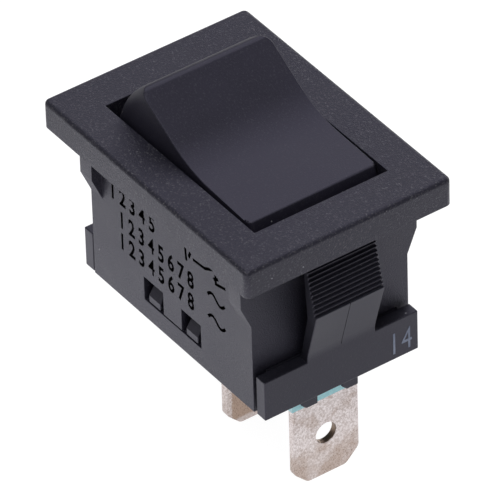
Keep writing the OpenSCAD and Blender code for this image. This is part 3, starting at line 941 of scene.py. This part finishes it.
def spring_tree():
    """The node tree, and the identifier of each of its inputs."""
    tree = bpy.data.node_groups.new("coil_spring", "GeometryNodeTree")
    sizes = {}
    for name, kind in COIL_INPUTS:
        socket = tree.interface.new_socket(name, in_out="INPUT", socket_type=kind)
        sizes[name] = socket.identifier
    tree.interface.new_socket("Geometry", in_out="OUTPUT", socket_type="NodeSocketGeometry")
    nodes = tree.nodes
    given = nodes.new("NodeGroupInput")
    spiral = nodes.new("GeometryNodeCurveSpiral")
    spiral.inputs["Resolution"].default_value = COIL_STEPS
    wire = nodes.new("GeometryNodeCurvePrimitiveCircle")
    wire.inputs["Resolution"].default_value = WIRE_SIDES
    sweep = nodes.new("GeometryNodeCurveToMesh")
    sweep.inputs["Fill Caps"].default_value = True
    smooth = nodes.new("GeometryNodeSetShadeSmooth")
    real = nodes.new("GeometryNodeRealizeInstances")
    finish = nodes.new("GeometryNodeSetMaterial")
    result = nodes.new("NodeGroupOutput")
    link = tree.links.new
    link(given.outputs["Turns"], spiral.inputs["Rotations"])
    link(given.outputs["Radius"], spiral.inputs["Start Radius"])
    link(given.outputs["Radius"], spiral.inputs["End Radius"])
    link(given.outputs["Height"], spiral.inputs["Height"])
    link(given.outputs["Wire"], wire.inputs["Radius"])
    link(spiral.outputs["Curve"], sweep.inputs["Curve"])
    link(wire.outputs["Curve"], sweep.inputs["Profile Curve"])
    link(sweep.outputs["Mesh"], smooth.inputs["Geometry"])
    link(smooth.outputs["Geometry"], real.inputs["Geometry"])
    link(real.outputs["Geometry"], finish.inputs["Geometry"])
    link(given.outputs["Finish"], finish.inputs["Material"])
    link(finish.outputs["Geometry"], result.inputs["Geometry"])
    return tree, sizes


coil_tree, coil_sizes = spring_tree()
print("inputs of the coil:", sorted(coil_sizes))

# %% Spring in its place
# The ends of the wire's middle line, as heights above the pivot, and its other sizes.
SPRING_BOTTOM = -1.05
SPRING_TOP = 1.337
SPRING_RADIUS = 0.73
SPRING_WIRE = 0.12
SPRING_TURNS = 5.0
# The rocker rests at one end of its travel, so its tilt from upright is half of the range.
rest_tilt = math.radians(joints["rocker_tilt"]["range_deg"][1] / 2)
pivot = Vector(joints["rocker_tilt"]["pos_m"])
plunger_stroke = -joints["plunger_slide"]["range_m"][0] / MM


def spring_coil():
    """The coil as a bmesh in millimetres, tilted about the pivot."""
    holder = bpy.data.objects.new("spring_maker", bpy.data.meshes.new("spring_maker"))
    scene.collection.objects.link(holder)
    maker = holder.modifiers.new("coil", "NODES")
    maker.node_group = coil_tree
    maker[coil_sizes["Radius"]] = SPRING_RADIUS
    maker[coil_sizes["Wire"]] = SPRING_WIRE
    maker[coil_sizes["Height"]] = SPRING_TOP - SPRING_BOTTOM
    maker[coil_sizes["Turns"]] = SPRING_TURNS
    maker[coil_sizes["Finish"]] = spring_steel
    work = bmesh.new()
    work.from_mesh(evaluated_mesh(holder))
    bmesh.ops.remove_doubles(work, verts=work.verts, dist=MERGE)
    bmesh.ops.recalc_face_normals(work, faces=work.faces)
    work.transform(Matrix.Translation(pivot / MM) @ Matrix.Rotation(rest_tilt, 4, "Y")
                   @ Matrix.Translation((0, 0, SPRING_BOTTOM)))
    return work


spring_piece = piece_from(spring_coil(), "plunger_coil", [spring_steel], "rocker",
                          node="plunger_spring")
spring_length = SPRING_TOP - SPRING_BOTTOM + 2 * SPRING_WIRE
1 - plunger_stroke / spring_length
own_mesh(spring_piece)
print("spring faces:", len(spring_piece.data.polygons), "stroke:", round(plunger_stroke, 2), "mm")

# %% [markdown]
# ## The remaining CAD pieces
# The plunger, the contacts, their bridge and the seals keep their CAD meshes. They only get
# a finish. The nodes that a piece above replaces get theirs too, so none is left plain.

# %% Finishes on CAD nodes
CAD_FINISHES = {"plunger": plunger_plastic, "contact_bridge": contact_copper,
                "moving_contact": contact_silver, "fixed_contact": contact_silver,
                "common_seal": seal_resin, "end_seal": seal_resin,
                "housing": housing_plastic, "rocker": rocker_plastic, "base": base_plastic,
                "common_terminal": stained_brass, "end_terminal": tinned_brass,
                "plunger_spring": spring_steel}
for node, finish in CAD_FINISHES.items():
    slots = frame["nodes"][node].data.materials
    slots.clear()
    slots.append(finish)
print("finished nodes:", len(CAD_FINISHES))

# %% [markdown]
# ## Table
# The switch stands on the tips of its blades over a white, lit table. Black plastic shows
# little colour of its own, so its sides are as bright as the table that they mirror. What
# they mirror is a painted pool of light: the table glows for reflections in a colour that is
# even right below the switch, brightest off its long sides and dim far away. The camera
# itself sees a plain white table.

# %% Table
# The side of the table in metres. The rest is in millimetres.
FLOOR_SIZE = 3.0
TABLE_GLOW = 1.2
PAPER_DARK = (0.86, 0.86, 0.86)
PAPER_PALE = (0.88, 0.88, 0.88)
PAPER_CLOUD = 8.0
PAPER_ROUGHNESS = 0.9
NEAR_SHADE = (1.67, 1.66, 1.76)
FAR_SHADE = (0.95, 0.95, 1.00)
BELOW_SHADE = (1.28, 1.28, 1.32)
REST_SHADE = (0.60, 0.60, 0.60)
WHITE = (1.0, 1.0, 1.0)
BELOW_RADIUS = 10.0
BELOW_FADE = 4.0
BAND_CENTRE = 4.0
BAND_FROM = 8.0
BAND_TO = 13.0
POOL_RADIUS = 34.0
POOL_FADE = 9.0
CAMERA_SHARE = 0.80
GLOSSY_SHARE = 0.70
floor_z = cad_bounds[0][2]


def mirrored_light(finish):
    """The colour of the painted pool of light. Shades above 1 are brighter than the white table."""
    x = finish.along("X")
    y = finish.along("Y")
    beside = (y - BAND_CENTRE).absolute().ramp(BAND_FROM, BAND_TO)
    around = finish.blend(beside, FAR_SHADE, NEAR_SHADE)
    radius = (x * x + y * y).root()
    near = finish.blend(radius.ramp(BELOW_RADIUS, BELOW_RADIUS + BELOW_FADE),
                        BELOW_SHADE, around)
    return finish.blend(radius.ramp(POOL_RADIUS, POOL_RADIUS + POOL_FADE), near, REST_SHADE)


def table_white():
    """White paper. Only the camera and reflections see it glow."""
    finish = Shader("table_white")
    paper = finish.noise(PAPER_CLOUD)
    finish.set(Base_Color=finish.blend(paper, PAPER_DARK, PAPER_PALE),
               Roughness=PAPER_ROUGHNESS, Specular_IOR_Level=0.0)
    ray = finish.node("ShaderNodeLightPath", {}, {})
    # Reflections see the painted pool of light, the camera plain white.
    shine = finish.blend(ray["Is Camera Ray"], mirrored_light(finish), WHITE)
    glow = finish.node("ShaderNodeEmission", {}, {"Color": shine, "Strength": TABLE_GLOW})
    mixed = finish.tree.nodes.new("ShaderNodeMixShader")
    finish.feed(mixed.inputs[0], ray["Is Camera Ray"] * CAMERA_SHARE
                + ray["Is Glossy Ray"] * GLOSSY_SHARE)
    link = finish.tree.links.new
    link(finish.bsdf.outputs[0], mixed.inputs[1])
    link(glow[0].socket, mixed.inputs[2])
    link(mixed.outputs[0], finish.tree.nodes["Material Output"].inputs[0])
    return finish.material


def make_floor():
    mesh = bpy.data.meshes.new("floor")
    half = FLOOR_SIZE / 2
    mesh.from_pydata([(-half, -half, floor_z), (half, -half, floor_z),
                      (half, half, floor_z), (-half, half, floor_z)], [], [(0, 1, 2, 3)])
    floor = bpy.data.objects.new("floor", mesh)
    scene.collection.objects.link(floor)
    floor.data.materials.append(table_white())


make_floor()
print("floor at z =", round(floor_z / MM, 2), "mm")

# %% [markdown]
# ## Lamps and world
# A large dim lamp behind gives the top its even tone, and a very weak one fills it in. The
# key lamp in front, high above the camera, lights the front slopes, the seals and the ink. A
# narrow strip, low behind the switch, draws a fine line along the edges that face it. The
# world is white for the camera and dim for everything else.

# %% Lamps and world
COOL_WHITE = (0.88, 0.86, 1.0)
FILL_WHITE = (0.88, 0.87, 1.0)
WORLD_LIGHT = 0.26
# Each lamp: its direction, its distance, width and height in metres, its watts and colour.
LAMPS = {"lamp_key": ((0.25, -0.35, 0.90), 0.60, 0.30, 0.30, 1.60, WHITE),
         "lamp_back": ((-0.45, 0.45, 0.77), 0.70, 0.70, 0.60, 1.81, COOL_WHITE),
         "lamp_top": ((0.35, 0.40, 0.85), 0.70, 0.50, 0.50, 0.06, FILL_WHITE),
         "lamp_rim": ((-0.45, 0.88, 0.06), 0.60, 0.50, 0.05, 0.50, WHITE)}


def soft_lamp(name, direction, distance, width, height, power, colour):
    """A rectangular lamp that faces the switch from the given direction."""
    data = bpy.data.lights.new(name, "AREA")
    data.shape = "RECTANGLE"
    data.size = width
    data.size_y = height
    data.energy = power
    data.color = colour
    lamp = bpy.data.objects.new(name, data)
    away = Vector(direction).normalized()
    lamp.matrix_world = (Matrix.Translation(away * distance)
                         @ away.to_track_quat("Z", "Y").to_matrix().to_4x4())
    scene.collection.objects.link(lamp)


def white_world(ambient):
    world = bpy.data.worlds.new("studio")
    scene.world = world
    world.use_nodes = True
    tree = world.node_tree
    tree.nodes.clear()
    path = tree.nodes.new("ShaderNodeLightPath")
    dim = tree.nodes.new("ShaderNodeBackground")
    dim.inputs["Strength"].default_value = ambient
    white = tree.nodes.new("ShaderNodeBackground")
    white.inputs["Strength"].default_value = 1.0
    mix = tree.nodes.new("ShaderNodeMixShader")
    output = tree.nodes.new("ShaderNodeOutputWorld")
    tree.links.new(path.outputs["Is Camera Ray"], mix.inputs[0])
    tree.links.new(dim.outputs[0], mix.inputs[1])
    tree.links.new(white.outputs[0], mix.inputs[2])
    tree.links.new(mix.outputs[0], output.inputs[0])


for name, values in LAMPS.items():
    soft_lamp(name, *values)
white_world(WORLD_LIGHT)
scene.view_settings.view_transform = "Standard"

# %% [markdown]
# ## Sizes
